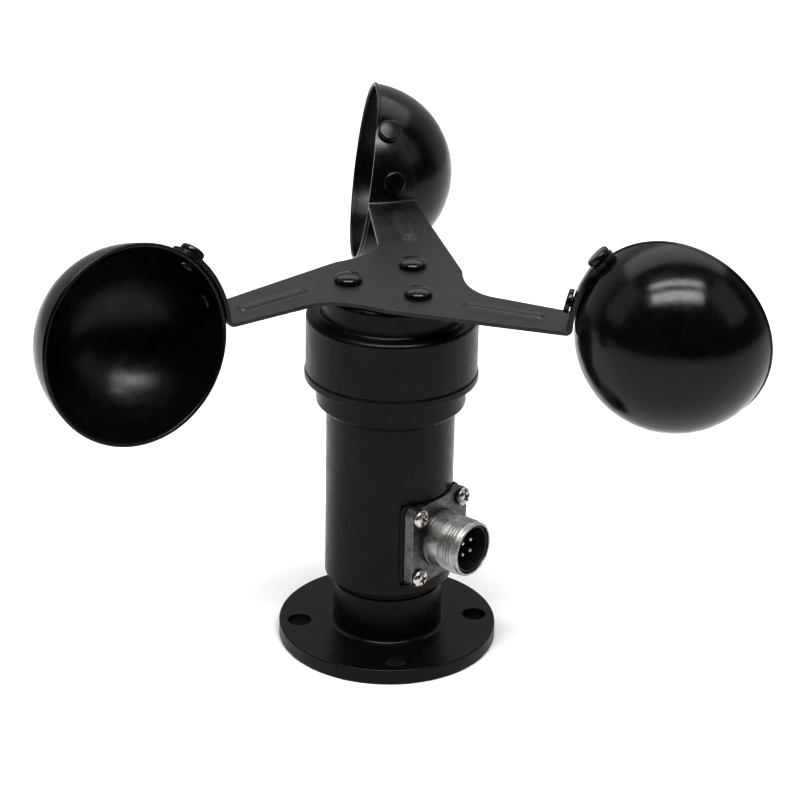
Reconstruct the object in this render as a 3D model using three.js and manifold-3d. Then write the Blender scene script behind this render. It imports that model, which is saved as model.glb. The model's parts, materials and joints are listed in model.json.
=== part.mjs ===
// Three-cup anemometer on a round bolt-down base, with a four-pin circular connector on its side.
// Millimetres, +Z up. The origin is the centre of the base flange's underside, the spindle lies
// along +Z and the connector points along +X. Each mesh is one closed solid.

import * as THREE from "three";
import { mergeVertices } from "three/addons/utils/BufferGeometryUtils.js";
import Module from "manifold-3d";

const wasm = await Module();
wasm.setup();

// ---------------------------------------------------------------- driving dimensions

const GAP = 0.3; // left between pieces that touch
const SIDES = 24; // facets round the large turned pieces
const SMALL_SIDES = 10; // facets round screws, rivets and pins

const BASE = {
  radius: 32.5, thick: 4.7, neckRadius: 16.2, filletRadius: 1.3,
  holeRadius: 3.55, holeCircle: 26.4, holeAngle: 45,
  sealLow: 18.8, sealRadius: 15.1, neckTop: 21.1, spigotRadius: 12.5, spigotTop: 28.5, bore: 9.6,
};
const TUBE = { radius: 18.8, bore: 12.8, low: 21.4, top: 75.4 };
const CONNECTOR = {
  height: 38.5, pocketFloor: 14.3, pocketHalf: 13.2, plateHalf: 12.5, plateCorner: 2.4,
  gasket: 1.4, plate: 3.0, screwSpacing: 19.5, rearRadius: 7.0, boreRadius: 6.2,
  collarRadius: 9.2, collarLength: 1.9, neckRadius: 7.6, neckLength: 3.5,
  threadRadius: 8.0, threadDepth: 0.55, threadPitch: 1.0, threads: 6, length: 12.6, rearLength: 8.0,
  pinRadius: 0.7, pinCircle: 2.55, pinReach: 2.2, insertFace: 8.2, insertWall: 0.6, insertFront: 0.5,
};
const CARRIER = {
  ringRadius: 21.8, ringLow: 75.7, ringTop: 84.6, chamfer: 1.8, towerRadius: 15.0, towerTop: 99.9,
  spigotRadius: 12.5, spigotLow: 64.0, bore: 11.2, lipRadius: 9.3, lipTop: 67.5,
};
const BEARING = {
  outer: 11.0, outerInner: 9.1, innerOuter: 5.9, bore: 4.2, width: 7.0,
  ballCircle: 7.5, ballRadius: 1.3, balls: 7, lowerAt: 67.8, upperAt: 91.2,
};
const SHAFT = {
  radius: 4.0, low: 50.5, seatRadius: 3.0, seatTop: 62.5, collarRadius: 5.5, collarLow: 98.5,
  collarTop: 101.2, threadRadius: 3.0, top: 111.7, grooveLow: 66.2, grooveTop: 67.5, grooveRadius: 3.3,
};
const HUB = {
  lipRadius: 25.3, lipLow: 84.9, lipTop: 87.4, radius: 24.95, shoulder: 104.7, shoulderRound: 1.4,
  cavityRadius: 23.2, ceiling: 101.5, bossRadius: 20.8, bossTop: 112.7, bossRound: 1.5,
  counterboreRadius: 7.6, counterboreFloor: 107.0, bore: 3.4,
};
const PLATE = { low: 113.0, thick: 1.2, rivetCircle: 12.8, rivetAngle: -25.8 };
const RIB = { halfWidth: 2.1, rise: 0.9, inner: [27.6, -4.6], outer: [47.5, -1.0] };
const CUP = {
  radius: 27.9, wall: 0.9, lipRadius: 28.2, lipLength: 1.4,
  reach: [91.1, 84.6, 84.6], side: [10.0, 9.3, 9.3], // by arm: the first arm is a little longer
  height: 114.2, facing: 94.6, tilt: 7.5,
};
const STRAP = { inner: 28.5, outer: 29.6, width: 13.9 };
const CUP_RIVETS = { upper: { behind: 3.6, rise: 45 }, lower: { behind: 6.5, rise: 14.6 } };
const FIRST_ARM = 129; // direction of the first arm at rest, degrees from +X

// ---------------------------------------------------------------- geometry helpers

const rad = THREE.MathUtils.degToRad;

// Merges shared vertices and drops the collapsed triangles that a lathe leaves on its axis.
function closed(geometry) {
  const bare = geometry.clone();
  bare.deleteAttribute("normal");
  bare.deleteAttribute("uv");
  const merged = mergeVertices(bare, 1e-4);
  const index = merged.index.array;
  const kept = [];
  for (let i = 0; i < index.length; i += 3) {
    const [a, b, c] = [index[i], index[i + 1], index[i + 2]];
    if (a !== b && b !== c && c !== a) kept.push(a, b, c);
  }
  merged.setIndex(kept);
  return merged;
}

function solid(geometry) {
  const whole = closed(geometry);
  return new wasm.Manifold(new wasm.Mesh({
    numProp: 3,
    vertProperties: new Float32Array(whole.attributes.position.array),
    triVerts: new Uint32Array(whole.index.array),
  }));
}

function fromSolid(body) {
  const mesh = body.getMesh();
  const geometry = new THREE.BufferGeometry();
  geometry.setAttribute("position", new THREE.BufferAttribute(mesh.vertProperties, 3));
  geometry.setIndex(new THREE.BufferAttribute(mesh.triVerts, 1));
  return geometry;
}

function cut(geometry, ...tools) {
  return fromSolid(tools.reduce((body, tool) => body.subtract(solid(tool)), solid(geometry)));
}

function join(geometry, ...others) {
  return fromSolid(others.reduce((body, other) => body.add(solid(other)), solid(geometry)));
}

// A solid of revolution about Z. The profile is a list of [radius, height], either way round.
function turned(profile, sides = SIDES) {
  const points = profile.map(([r, z]) => new THREE.Vector2(r, z));
  if (THREE.ShapeUtils.area(points) < 0) points.reverse();
  const first = points[0];
  const last = points[points.length - 1];
  if (first.x > 0 || last.x > 0) points.push(first.clone());
  return new THREE.LatheGeometry(points, sides).rotateX(Math.PI / 2);
}

// The points of an arc in the profile plane, from one angle to another in degrees.
function arc(r, z, radius, from, to, steps = 4) {
  return Array.from({ length: steps + 1 }, (_, i) => {
    const a = rad(from + ((to - from) * i) / steps);
    return [r + radius * Math.cos(a), z + radius * Math.sin(a)];
  });
}

function ring(inner, outer, low, top, sides = SIDES) {
  return turned([[inner, low], [outer, low], [outer, top], [inner, top]], sides);
}

function rod(radius, low, top, sides = SMALL_SIDES) {
  return turned([[0, low], [radius, low], [radius, top], [0, top]], sides);
}

function box(x, y, z, at) {
  return new THREE.BoxGeometry(x, y, z).translate(...at);
}

// Turns a piece made about Z so that its +Z end points along +X, at the connector's height.
function alongX(geometry, y = 0, z = 0) {
  return geometry.rotateY(Math.PI / 2).translate(0, y, CONNECTOR.height + z);
}

function extruded(shape, depth, low, curveSegments = 6) {
  const options = { depth, bevelEnabled: false, curveSegments };
  return new THREE.ExtrudeGeometry(shape, options).translate(0, 0, low);
}

function polar(radius, degrees) {
  return [radius * Math.cos(rad(degrees)), radius * Math.sin(rad(degrees))];
}

// ---------------------------------------------------------------- materials

function finish(color, roughness, metalness) {
  return () => new THREE.MeshStandardMaterial({ color, roughness, metalness });
}

const blackPaint = finish(0x151516, 0.32, 0.1);
const blackRubber = finish(0x0d0d0d, 0.8, 0);
const blackPlastic = finish(0x0b0b0c, 0.5, 0);
const nickel = finish(0xb9b6ae, 0.28, 1);
const castMetal = finish(0x4a4a4c, 0.42, 0.9);
const steel = finish(0xa9abad, 0.3, 1);
const boardGreen = finish(0x1f5a35, 0.55, 0);
const wireColours = [0x8e1b1b, 0x151515, 0x2f6b35, 0xb9a12c].map((c) => finish(c, 0.6, 0));

function part(name, geometry, material) {
  const mesh = new THREE.Mesh(closed(geometry), material());
  mesh.name = name;
  return mesh;
}

// ---------------------------------------------------------------- base and body

function baseFlange() {
  const fillet = arc(BASE.neckRadius + BASE.filletRadius, BASE.thick + BASE.filletRadius,
    BASE.filletRadius, 270, 180, 2);
  const edge = 0.6;
  const disc = turned([
    [0, 0], [BASE.radius - edge, 0], [BASE.radius, edge], [BASE.radius, BASE.thick - edge],
    [BASE.radius - edge, BASE.thick], ...fillet, [BASE.neckRadius, BASE.sealLow],
    [BASE.sealRadius, BASE.sealLow], [BASE.sealRadius, BASE.neckTop], [BASE.spigotRadius, BASE.neckTop],
    [BASE.spigotRadius, BASE.spigotTop], [BASE.bore, BASE.spigotTop], [BASE.bore, BASE.thick],
    [0, BASE.thick],
  ]);
  const holes = [0, 90, 180, 270].map((turn) => {
    const [x, y] = polar(BASE.holeCircle, BASE.holeAngle + turn);
    return rod(BASE.holeRadius, -1, BASE.thick + 1, 14).translate(x, y, 0);
  });
  return part("base_flange", cut(disc, ...holes), blackPaint);
}

function neckSeal() {
  const height = TUBE.low - GAP - BASE.sealLow;
  return part("neck_seal", ring(BASE.sealRadius + GAP / 2, BASE.neckRadius - 0.2,
    BASE.sealLow + GAP / 2, BASE.sealLow + height - GAP / 2), blackRubber);
}

function screwPlaces() {
  const half = CONNECTOR.screwSpacing / 2;
  return [[half, half], [-half, half], [-half, -half], [half, -half]];
}

function bodyTube() {
  const edge = 0.5;
  const tube = turned([
    [TUBE.bore, TUBE.low], [TUBE.radius - edge, TUBE.low], [TUBE.radius, TUBE.low + edge],
    [TUBE.radius, TUBE.top], [TUBE.bore, TUBE.top],
  ]);
  const pocketDepth = TUBE.radius;
  const half = CONNECTOR.pocketHalf;
  const pocket = box(pocketDepth, 4 * half, 2 * half,
    [CONNECTOR.pocketFloor + pocketDepth / 2, 0, CONNECTOR.height]);
  const rear = alongX(rod(CONNECTOR.rearRadius + GAP, 0, TUBE.radius, 18));
  const screwHoles = screwPlaces().map(([y, z]) => alongX(rod(1.75, 9.5, TUBE.radius), y, z));
  return part("body_tube", cut(tube, pocket, rear, ...screwHoles), blackPaint);
}

function bearingCarrier() {
  const { ringRadius, ringLow, ringTop, chamfer } = CARRIER;
  const profile = [
    [CARRIER.lipRadius, CARRIER.spigotLow], [CARRIER.spigotRadius, CARRIER.spigotLow],
    [CARRIER.spigotRadius, ringLow], [ringRadius - chamfer, ringLow],
    [ringRadius, ringLow + chamfer], [ringRadius, ringTop - 0.4], [ringRadius - 0.4, ringTop],
    [CARRIER.towerRadius, ringTop], [CARRIER.towerRadius, CARRIER.towerTop],
    [CARRIER.bore, CARRIER.towerTop], [CARRIER.bore, CARRIER.lipTop],
    [CARRIER.lipRadius, CARRIER.lipTop],
  ];
  const screwHoles = standoffPlaces().map(([x, y]) => (
    rod(1.0, CARRIER.spigotLow - 1, CARRIER.spigotLow + 2.6, 8).translate(x, y, 0)));
  return part("bearing_carrier", cut(turned(profile), ...screwHoles), blackPaint);
}

function shaftSeal() {
  return part("shaft_seal", ring(SHAFT.collarRadius + GAP, CARRIER.bore - 0.2,
    BEARING.upperAt + BEARING.width + GAP, CARRIER.towerTop - 0.1), blackRubber);
}

// ---------------------------------------------------------------- bearings

function outerRace(name, low) {
  return part(name, ring(BEARING.outerInner, BEARING.outer, low, low + BEARING.width, 20), steel);
}

function innerRace(name, low) {
  return part(name, ring(BEARING.bore, BEARING.innerOuter, low, low + BEARING.width, 18), steel);
}

function ballCage(name, low) {
  const middle = low + BEARING.width / 2;
  const band = ring(BEARING.ballCircle - 0.6, BEARING.ballCircle + 0.6, middle - 0.7, middle + 0.7, 14);
  const balls = Array.from({ length: BEARING.balls }, (_, i) => {
    const [x, y] = polar(BEARING.ballCircle, (360 * i) / BEARING.balls);
    return new THREE.SphereGeometry(BEARING.ballRadius, 6, 4).translate(x, y, middle);
  });
  return part(name, join(band, ...balls), steel);
}

function bearingSpacer() {
  const low = BEARING.lowerAt + BEARING.width + GAP;
  return part("bearing_spacer", ring(BEARING.outerInner + 0.4, BEARING.outer, low,
    BEARING.upperAt - GAP, 20), steel);
}

// ---------------------------------------------------------------- connector

function squarePlate(half, corner, holeRadius, boreRadius) {
  const shape = new THREE.Shape();
  const inner = half - corner;
  shape.moveTo(half, inner);
  shape.absarc(inner, inner, corner, 0, Math.PI / 2);
  shape.absarc(-inner, inner, corner, Math.PI / 2, Math.PI);
  shape.absarc(-inner, -inner, corner, Math.PI, 1.5 * Math.PI);
  shape.absarc(inner, -inner, corner, 1.5 * Math.PI, 2 * Math.PI);
  const centres = [[0, 0, boreRadius], ...screwPlaces().map(([y, z]) => [z, y, holeRadius])];
  for (const [x, y, radius] of centres) {
    shape.holes.push(new THREE.Path().absarc(x, y, radius, 0, 2 * Math.PI, true));
  }
  return shape;
}

function connectorGasket() {
  const shape = squarePlate(CONNECTOR.plateHalf + 0.2, CONNECTOR.plateCorner, 1.9,
    CONNECTOR.rearRadius + 2 * GAP);
  const plate = extruded(shape, CONNECTOR.gasket, CONNECTOR.pocketFloor + GAP, 6);
  return part("connector_gasket", alongX(plate), blackRubber);
}

const PLATE_BACK = CONNECTOR.pocketFloor + CONNECTOR.gasket + 2 * GAP;
const PLATE_FRONT = PLATE_BACK + CONNECTOR.plate;
const CONNECTOR_FRONT = PLATE_FRONT + CONNECTOR.length;

function connectorShell() {
  const c = CONNECTOR;
  const collarEnd = PLATE_FRONT + c.collarLength;
  const neckEnd = collarEnd + c.neckLength;
  const ridges = [];
  for (let i = 0; i < c.threads; i += 1) {
    const start = neckEnd + i * c.threadPitch;
    ridges.push([c.threadRadius - c.threadDepth, start], [c.threadRadius, start + c.threadPitch / 2]);
  }
  const barrel = turned([
    [c.boreRadius + GAP, PLATE_BACK - c.rearLength], [c.rearRadius, PLATE_BACK - c.rearLength],
    [c.rearRadius, PLATE_BACK + 1], [c.collarRadius, PLATE_BACK + 1], [c.collarRadius, collarEnd - 0.5],
    [c.collarRadius - 0.5, collarEnd], [c.neckRadius, collarEnd], [c.neckRadius, neckEnd], ...ridges,
    [c.threadRadius - c.threadDepth, neckEnd + c.threads * c.threadPitch],
    [c.threadRadius - 0.7, CONNECTOR_FRONT], [c.boreRadius + GAP, CONNECTOR_FRONT],
  ], 20);
  const shape = squarePlate(c.plateHalf, c.plateCorner, 1.75, c.boreRadius + 1);
  const plate = extruded(shape, c.plate, PLATE_BACK, 4);
  return part("connector_shell", alongX(join(barrel, plate)), castMetal);
}

function pinPlaces() {
  return [45, 135, 225, 315].map((a) => polar(CONNECTOR.pinCircle, a));
}

function connectorInsert() {
  const back = PLATE_BACK - CONNECTOR.rearLength;
  const face = CONNECTOR_FRONT - CONNECTOR.insertFace;
  const holes = pinPlaces().map(([x, y]) => (
    rod(CONNECTOR.pinRadius + GAP, back - 1, face + 1, 8).translate(x, y, 0)));
  const rim = CONNECTOR_FRONT - CONNECTOR.insertFront;
  const wallInside = CONNECTOR.boreRadius - CONNECTOR.insertWall;
  const plug = cut(turned([[0, back], [CONNECTOR.boreRadius, back], [CONNECTOR.boreRadius, rim],
    [wallInside, rim], [wallInside, face], [0, face]], 20), ...holes);
  return part("connector_insert", alongX(plug), blackPlastic);
}

function connectorPins() {
  const back = PLATE_BACK - CONNECTOR.rearLength - 2.2;
  const front = CONNECTOR_FRONT - CONNECTOR.pinReach;
  const { pinRadius } = CONNECTOR;
  return pinPlaces().map(([x, y], i) => {
    const pin = turned([[0, back], [pinRadius, back], [pinRadius, front - pinRadius],
      ...arc(0, front - pinRadius, pinRadius, 0, 90, 2).slice(1, 2), [0, front]], 8);
    return part(`connector_pin_${i + 1}`, alongX(pin.translate(x, y, 0)), nickel);
  });
}

function connectorScrews() {
  const seat = PLATE_FRONT + GAP;
  const head = { radius: 2.75, height: 1.7 };
  const slot = { width: 0.6, length: 3.2, depth: 0.8 };
  return screwPlaces().map(([y, z], i) => {
    const top = seat + head.height;
    const blank = turned([[0, 10.2], [1.4, 10.2], [1.4, seat], [head.radius, seat],
      [head.radius, seat + 0.9], [head.radius - 0.8, top], [0, top]], SMALL_SIDES);
    const across = box(slot.width, slot.length, 2 * slot.depth, [0, 0, top]);
    const down = box(slot.length, slot.width, 2 * slot.depth, [0, 0, top]);
    const screw = cut(blank, across, down);
    return part(`connector_screw_${i + 1}`, alongX(screw, y, z), nickel);
  });
}

// ---------------------------------------------------------------- electronics

const BOARD = { low: 52.0, thick: 1.6, radius: 12.4, bore: 4.2, standoffCircle: 10.6 };

function standoffPlaces() {
  return [90, 270].map((a) => polar(BOARD.standoffCircle, a));
}

function circuitBoard() {
  const holes = standoffPlaces().map(([x, y]) => (
    rod(1.1, BOARD.low - 1, BOARD.low + 3, 8).translate(x, y, 0)));
  const board = ring(BOARD.bore, BOARD.radius, BOARD.low, BOARD.low + BOARD.thick, 24);
  return part("circuit_board", cut(board, ...holes), boardGreen);
}

function standoffs() {
  const low = BOARD.low + BOARD.thick + GAP;
  const top = CARRIER.spigotLow - GAP;
  return standoffPlaces().map(([x, y], i) => (
    part(`board_standoff_${i + 1}`, ring(1.0, 1.5, low, top, 6).translate(x, y, 0), steel)));
}

function boardScrews() {
  const headLow = BOARD.low - GAP - 1.2;
  return standoffPlaces().map(([x, y], i) => {
    const screw = turned([[0, headLow], [1.5, headLow], [1.5, BOARD.low - GAP], [0.7, BOARD.low - GAP],
      [0.7, CARRIER.spigotLow + 2.2], [0, CARRIER.spigotLow + 2.2]], 8);
    return part(`board_screw_${i + 1}`, screw.translate(x, y, 0), steel);
  });
}

const ENCODER = { height: 57.6, thick: 0.5, radius: 8.6, bore: 3.2, slots: 12 };

function encoderDisc() {
  const shape = new THREE.Shape().absarc(0, 0, ENCODER.radius, 0, 2 * Math.PI);
  shape.holes.push(new THREE.Path().absarc(0, 0, ENCODER.bore, 0, 2 * Math.PI, true));
  const pitch = 360 / ENCODER.slots;
  for (let i = 0; i < ENCODER.slots; i += 1) {
    const at = i * pitch;
    const corners = [polar(6.4, at), polar(7.9, at), polar(7.9, at + pitch / 2), polar(6.4, at + pitch / 2)];
    const slot = new THREE.Path();
    slot.moveTo(...corners[3]);
    [2, 1, 0].forEach((k) => slot.lineTo(...corners[k]));
    slot.closePath();
    shape.holes.push(slot);
  }
  return part("encoder_disc", extruded(shape, ENCODER.thick, ENCODER.height, 12), steel);
}

function encoderCollar() {
  const low = ENCODER.height - GAP - 3.4;
  return part("encoder_collar", ring(ENCODER.bore, 5.0, low, ENCODER.height - GAP, 14), steel);
}

function photoInterrupter() {
  const low = BOARD.low + BOARD.thick + GAP;
  const slotLow = ENCODER.height - 0.9;
  const slotTop = ENCODER.height + ENCODER.thick + 0.9;
  const top = slotTop + 1.8;
  const body = box(4.6, 4.8, top - low, [-9.2, 0, (low + top) / 2]);
  const slot = box(4.6, 6, slotTop - slotLow, [-8.0, 0, (slotLow + slotTop) / 2]);
  return part("photo_interrupter", cut(body, slot), blackPlastic);
}

function chips() {
  const under = BOARD.low - GAP;
  return [
    part("microcontroller", box(5, 5, 1.0, [-7.6, 0, under - 0.5]), blackPlastic),
    part("line_transceiver", box(4, 5, 1.4, [-4.2, -6.4, under - 0.7]), blackPlastic),
    part("supply_capacitor", rod(1.9, under - 5, under, 12).translate(-4.2, 6.6, 0), steel),
    part("wire_header", box(3.4, 10, 4.2, [7.2, 0, under - 2.1]), blackPlastic),
  ];
}

// Each wire runs from a pin's solder end back into the body and up to the header under the board.
function signalWires() {
  const start = PLATE_BACK - CONNECTOR.rearLength - 2.2 - GAP;
  const headerLow = BOARD.low - 3 * GAP - 4.2;
  return pinPlaces().map(([x, y], i) => {
    const height = CONNECTOR.height - x;
    const outer = x > 0; // the lower pair of pins, whose wires pass outside the upper pair's
    const side = Math.sign(y) * (outer ? 3.8 : 1.3);
    const back = outer ? 0.6 : 2.6;
    const route = new THREE.CatmullRomCurve3([
      new THREE.Vector3(start, y, height),
      new THREE.Vector3(back + 1.4, y, height + 0.2),
      new THREE.Vector3(back, (y + side) / 2, height + 2.4),
      new THREE.Vector3(7.2, side, headerLow - 2.0),
      new THREE.Vector3(7.2, side, headerLow),
    ]);
    const section = new THREE.Shape().absarc(0, 0, 0.5, 0, 2 * Math.PI);
    const options = { steps: 9, curveSegments: 3, bevelEnabled: false, extrudePath: route };
    return part(`signal_wire_${i + 1}`, new THREE.ExtrudeGeometry(section, options), wireColours[i]);
  });
}

// ---------------------------------------------------------------- rotor

function rotorShaft() {
  const s = SHAFT;
  return part("rotor_shaft", turned([
    [0, s.low], [s.seatRadius, s.low], [s.seatRadius, s.seatTop], [s.radius, s.seatTop],
    [s.radius, s.grooveLow], [s.grooveRadius, s.grooveLow], [s.grooveRadius, s.grooveTop],
    [s.radius, s.grooveTop], [s.radius, s.collarLow], [s.collarRadius, s.collarLow],
    [s.collarRadius, s.collarTop], [s.threadRadius, s.collarTop], [s.threadRadius, s.top], [0, s.top],
  ], 18), steel);
}

function retainingRing() {
  const shape = new THREE.Shape();
  const mouth = 0.55;
  shape.absarc(0, 0, 5.7, mouth, 2 * Math.PI - mouth);
  shape.absarc(0, 0, SHAFT.grooveRadius + 0.25, 2 * Math.PI - mouth, mouth, true);
  shape.closePath();
  return part("shaft_retaining_ring", extruded(shape, 0.7, SHAFT.grooveLow + GAP, 8), steel);
}

function rivetPlaces() {
  return [0, 120, 240].map((turn) => polar(PLATE.rivetCircle, FIRST_ARM + turn + PLATE.rivetAngle));
}

function rotorHub() {
  const h = HUB;
  const outside = [
    [h.lipRadius, h.lipLow], [h.lipRadius, h.lipTop - 0.8], [h.radius, h.lipTop],
    ...arc(h.radius - h.shoulderRound, h.shoulder - h.shoulderRound, h.shoulderRound, 0, 90, 2),
    [h.bossRadius + 0.5, h.shoulder], [h.bossRadius, h.shoulder + 0.5],
    ...arc(h.bossRadius - h.bossRound, h.bossTop - h.bossRound, h.bossRound, 0, 90, 2),
  ];
  const inside = [
    [h.counterboreRadius, h.bossTop], [h.counterboreRadius, h.counterboreFloor],
    [h.bore, h.counterboreFloor], [h.bore, h.ceiling], [h.cavityRadius, h.ceiling],
    [h.cavityRadius, h.lipLow],
  ];
  const holes = rivetPlaces().map(([x, y]) => rod(2.3, h.bossTop - 6, h.bossTop + 1).translate(x, y, 0));
  return part("rotor_hub", cut(turned([...outside, ...inside]), ...holes), blackPaint);
}

function hubWasher() {
  const low = HUB.counterboreFloor + GAP;
  return part("hub_washer", ring(SHAFT.threadRadius + GAP, 6.6, low, low + 1.0, 14), steel);
}

function hubNut() {
  const low = HUB.counterboreFloor + 1.0 + 2 * GAP;
  return part("hub_nut", cut(rod(5.77, low, low + 3.2, 6),
    rod(SHAFT.threadRadius + 0.2, low - 1, low + 5, 18)), steel);
}

function hubRivets() {
  const seat = PLATE.low + PLATE.thick + GAP;
  const head = { radius: 4.1, height: 2.1 };
  const dome = arc(0, seat, 1, 0, 90, 3).map(([r, z]) => [r * head.radius, seat + (z - seat) * head.height]);
  return rivetPlaces().map(([x, y], i) => {
    const rivet = turned([[0, HUB.bossTop - 5.6], [2.0, HUB.bossTop - 5.6], [2.0, seat],
      ...dome.slice(0, -1), [0, seat + head.height]], SMALL_SIDES + 2);
    return part(`hub_rivet_${i + 1}`, rivet.translate(x, y, 0), blackPaint);
  });
}

// The arm frame has the arm along +X. A cup's own frame has its mouth towards +X and the hub
// towards +Y, and this matrix places it in the arm frame.
function cupPlace(arm) {
  const turn = new THREE.Euler(0, rad(-CUP.tilt), rad(CUP.facing), "ZYX");
  const place = new THREE.Matrix4().makeRotationFromEuler(turn);
  return place.setPosition(CUP.reach[arm], CUP.side[arm], CUP.height);
}

function armTurn(arm) {
  return new THREE.Matrix4().makeRotationZ(rad(FIRST_ARM + 120 * arm));
}

// A point on the cup's sphere side: its distance behind the mouth and its rise above the middle.
function onSphere(radius, behind, height) {
  return new THREE.Vector3(-behind, Math.sqrt(radius ** 2 - behind ** 2 - height ** 2), height);
}

// The matrix that stands a rivet, made about Z from the sphere's centre, through its hole.
function cupRivetPlace({ behind, rise }) {
  const around = Math.sqrt(STRAP.outer ** 2 - behind ** 2);
  const [y, z] = polar(around, rise);
  const outward = new THREE.Vector3(-behind, y, z).normalize();
  const turn = new THREE.Quaternion().setFromUnitVectors(new THREE.Vector3(0, 0, 1), outward);
  return new THREE.Matrix4().makeRotationFromQuaternion(turn);
}

function cupRivetHoles() {
  return Object.values(CUP_RIVETS).map((spot) => (
    rod(1.8, CUP.radius - 4, CUP.radius + 5).applyMatrix4(cupRivetPlace(spot))));
}

function windCup(arm) {
  const inner = CUP.radius - CUP.wall;
  const back = arc(0, 0, CUP.radius, -90, -4, 6);
  const front = arc(0, 0, inner, 0, -90, 6);
  const profile = [...back, [CUP.lipRadius, -CUP.lipLength], [CUP.lipRadius, 0], ...front];
  profile[0][0] = 0;
  profile[profile.length - 1][0] = 0;
  const shell = turned(profile, 24).rotateY(Math.PI / 2);
  const cup = cut(shell, ...cupRivetHoles());
  cup.applyMatrix4(cupPlace(arm)).applyMatrix4(armTurn(arm));
  return part(`wind_cup_${arm + 1}`, cup, blackPaint);
}

// The strap that the arm folds up into, following the cup's outside from the fold to a round top.
function strap(arm) {
  const shape = new THREE.Shape();
  const low = -8;
  const { width } = STRAP;
  const top = { across: 3.8, height: 21.8, radius: 4.1 };
  shape.moveTo(top.across - top.radius, low);
  shape.lineTo(width, low);
  shape.lineTo(width - 0.8, 9.5);
  shape.quadraticCurveTo(width - 1.9, 16.6, 8.1, 19.9);
  shape.absarc(top.across, top.height, top.radius, 0, Math.PI);
  shape.closePath();
  const reach = { depth: 26, bevelEnabled: false, curveSegments: 5 };
  const prism = new THREE.ExtrudeGeometry(shape, reach);
  const frame = new THREE.Matrix4().makeBasis(new THREE.Vector3(-1, 0, 0),
    new THREE.Vector3(0, 0, 1), new THREE.Vector3(0, 1, 0));
  prism.applyMatrix4(frame).translate(0, 6, 0);
  const shell = solid(new THREE.SphereGeometry(STRAP.outer, 30, 16)).subtract(solid(strapRoom()));
  return fromSolid(shell.intersect(solid(prism))).applyMatrix4(cupPlace(arm));
}

// The ball of space that the straps keep clear, a little larger than a cup.
function strapRoom() {
  return new THREE.SphereGeometry(STRAP.inner, 30, 16);
}

function rib(arm) {
  const [from, to] = [RIB.inner, RIB.outer].map((p) => new THREE.Vector2(...p));
  const along = to.clone().sub(from);
  const middle = from.clone().add(to).multiplyScalar(0.5);
  middle.x += CUP.reach[arm] - CUP.reach[1];
  return new THREE.CapsuleGeometry(RIB.halfWidth, along.length(), 2, 8)
    .rotateZ(-Math.PI / 2)
    .scale(1, 1, RIB.rise / RIB.halfWidth)
    .rotateZ(along.angle())
    .translate(middle.x, middle.y, PLATE.low + PLATE.thick);
}

// The flat star: each arm has a long straight edge on one side and a hollow edge on the other.
function plateOutline() {
  const middle = (STRAP.inner + STRAP.outer) / 2;
  const drop = PLATE.low + PLATE.thick / 2 - CUP.height;
  const edges = (arm) => [-0.1, STRAP.width - 0.3].map((behind) => (
    onSphere(middle, behind, drop + behind * Math.tan(rad(CUP.tilt))).applyMatrix4(cupPlace(arm))));
  const shape = new THREE.Shape();
  const root = [8.1, -20.0];
  const at = (arm, x, y) => new THREE.Vector3(x, y, 0).applyMatrix4(armTurn(arm));
  for (let arm = 0; arm < 3; arm += 1) {
    const [near, far] = edges(arm);
    const corners = [root, [far.x, far.y], [near.x, near.y], [36, 5.3], [29, 4.6]];
    const [start, ...rest] = corners.map(([x, y]) => at(arm, x, y));
    if (arm === 0) shape.moveTo(start.x, start.y);
    rest.forEach((p) => shape.lineTo(p.x, p.y));
    const bend = at(arm, 20, 5.2);
    const next = at(arm + 1, ...root);
    shape.quadraticCurveTo(bend.x, bend.y, next.x, next.y);
  }
  return shape;
}

function cupArmSpider() {
  let body = solid(extruded(plateOutline(), PLATE.thick, PLATE.low, 5));
  const room = solid(box(300, 300, 60, [0, 0, PLATE.low + 30]));
  for (let arm = 0; arm < 3; arm += 1) {
    const place = cupPlace(arm).premultiply(armTurn(arm));
    let wing = solid(strap(arm).applyMatrix4(armTurn(arm))).intersect(room);
    for (const hole of cupRivetHoles()) wing = wing.subtract(solid(hole.applyMatrix4(place)));
    const ball = solid(strapRoom().applyMatrix4(place));
    body = body.subtract(ball).add(wing).add(solid(rib(arm).applyMatrix4(armTurn(arm))));
  }
  for (const [x, y] of rivetPlaces()) {
    body = body.subtract(solid(rod(2.3, PLATE.low - 1, PLATE.low + 3).translate(x, y, 0)));
  }
  return part("cup_arm_spider", fromSolid(body), blackPaint);
}

function cupRivets(arm) {
  const head = { low: STRAP.outer + 0.25, radius: 3.5, height: 1.5 };
  const tail = { top: CUP.radius - CUP.wall - 0.95, radius: 2.7, height: 1.1 };
  const profile = [
    [0, tail.top - tail.height], [tail.radius - 0.5, tail.top - tail.height], [tail.radius, tail.top - 0.5],
    [tail.radius, tail.top], [1.5, tail.top], [1.5, head.low], [head.radius, head.low],
    [head.radius, head.low + 0.8], [head.radius - 0.7, head.low + head.height],
    [0, head.low + head.height],
  ];
  return Object.entries(CUP_RIVETS).map(([name, spot]) => {
    const rivet = turned(profile, SMALL_SIDES).applyMatrix4(cupRivetPlace(spot));
    rivet.applyMatrix4(cupPlace(arm)).applyMatrix4(armTurn(arm));
    return part(`cup_rivet_${arm + 1}_${name}`, rivet, blackPaint);
  });
}

// ---------------------------------------------------------------- assembly

const housing = new THREE.Group();
housing.add(baseFlange(), neckSeal(), bodyTube(), bearingCarrier(), shaftSeal(), bearingSpacer());
housing.add(outerRace("lower_bearing_outer_race", BEARING.lowerAt));
housing.add(outerRace("upper_bearing_outer_race", BEARING.upperAt));
housing.add(connectorGasket(), connectorShell(), connectorInsert());
housing.add(...connectorPins(), ...connectorScrews());
housing.add(circuitBoard(), ...standoffs(), ...boardScrews(), photoInterrupter(), ...chips());
housing.add(...signalWires());

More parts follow.
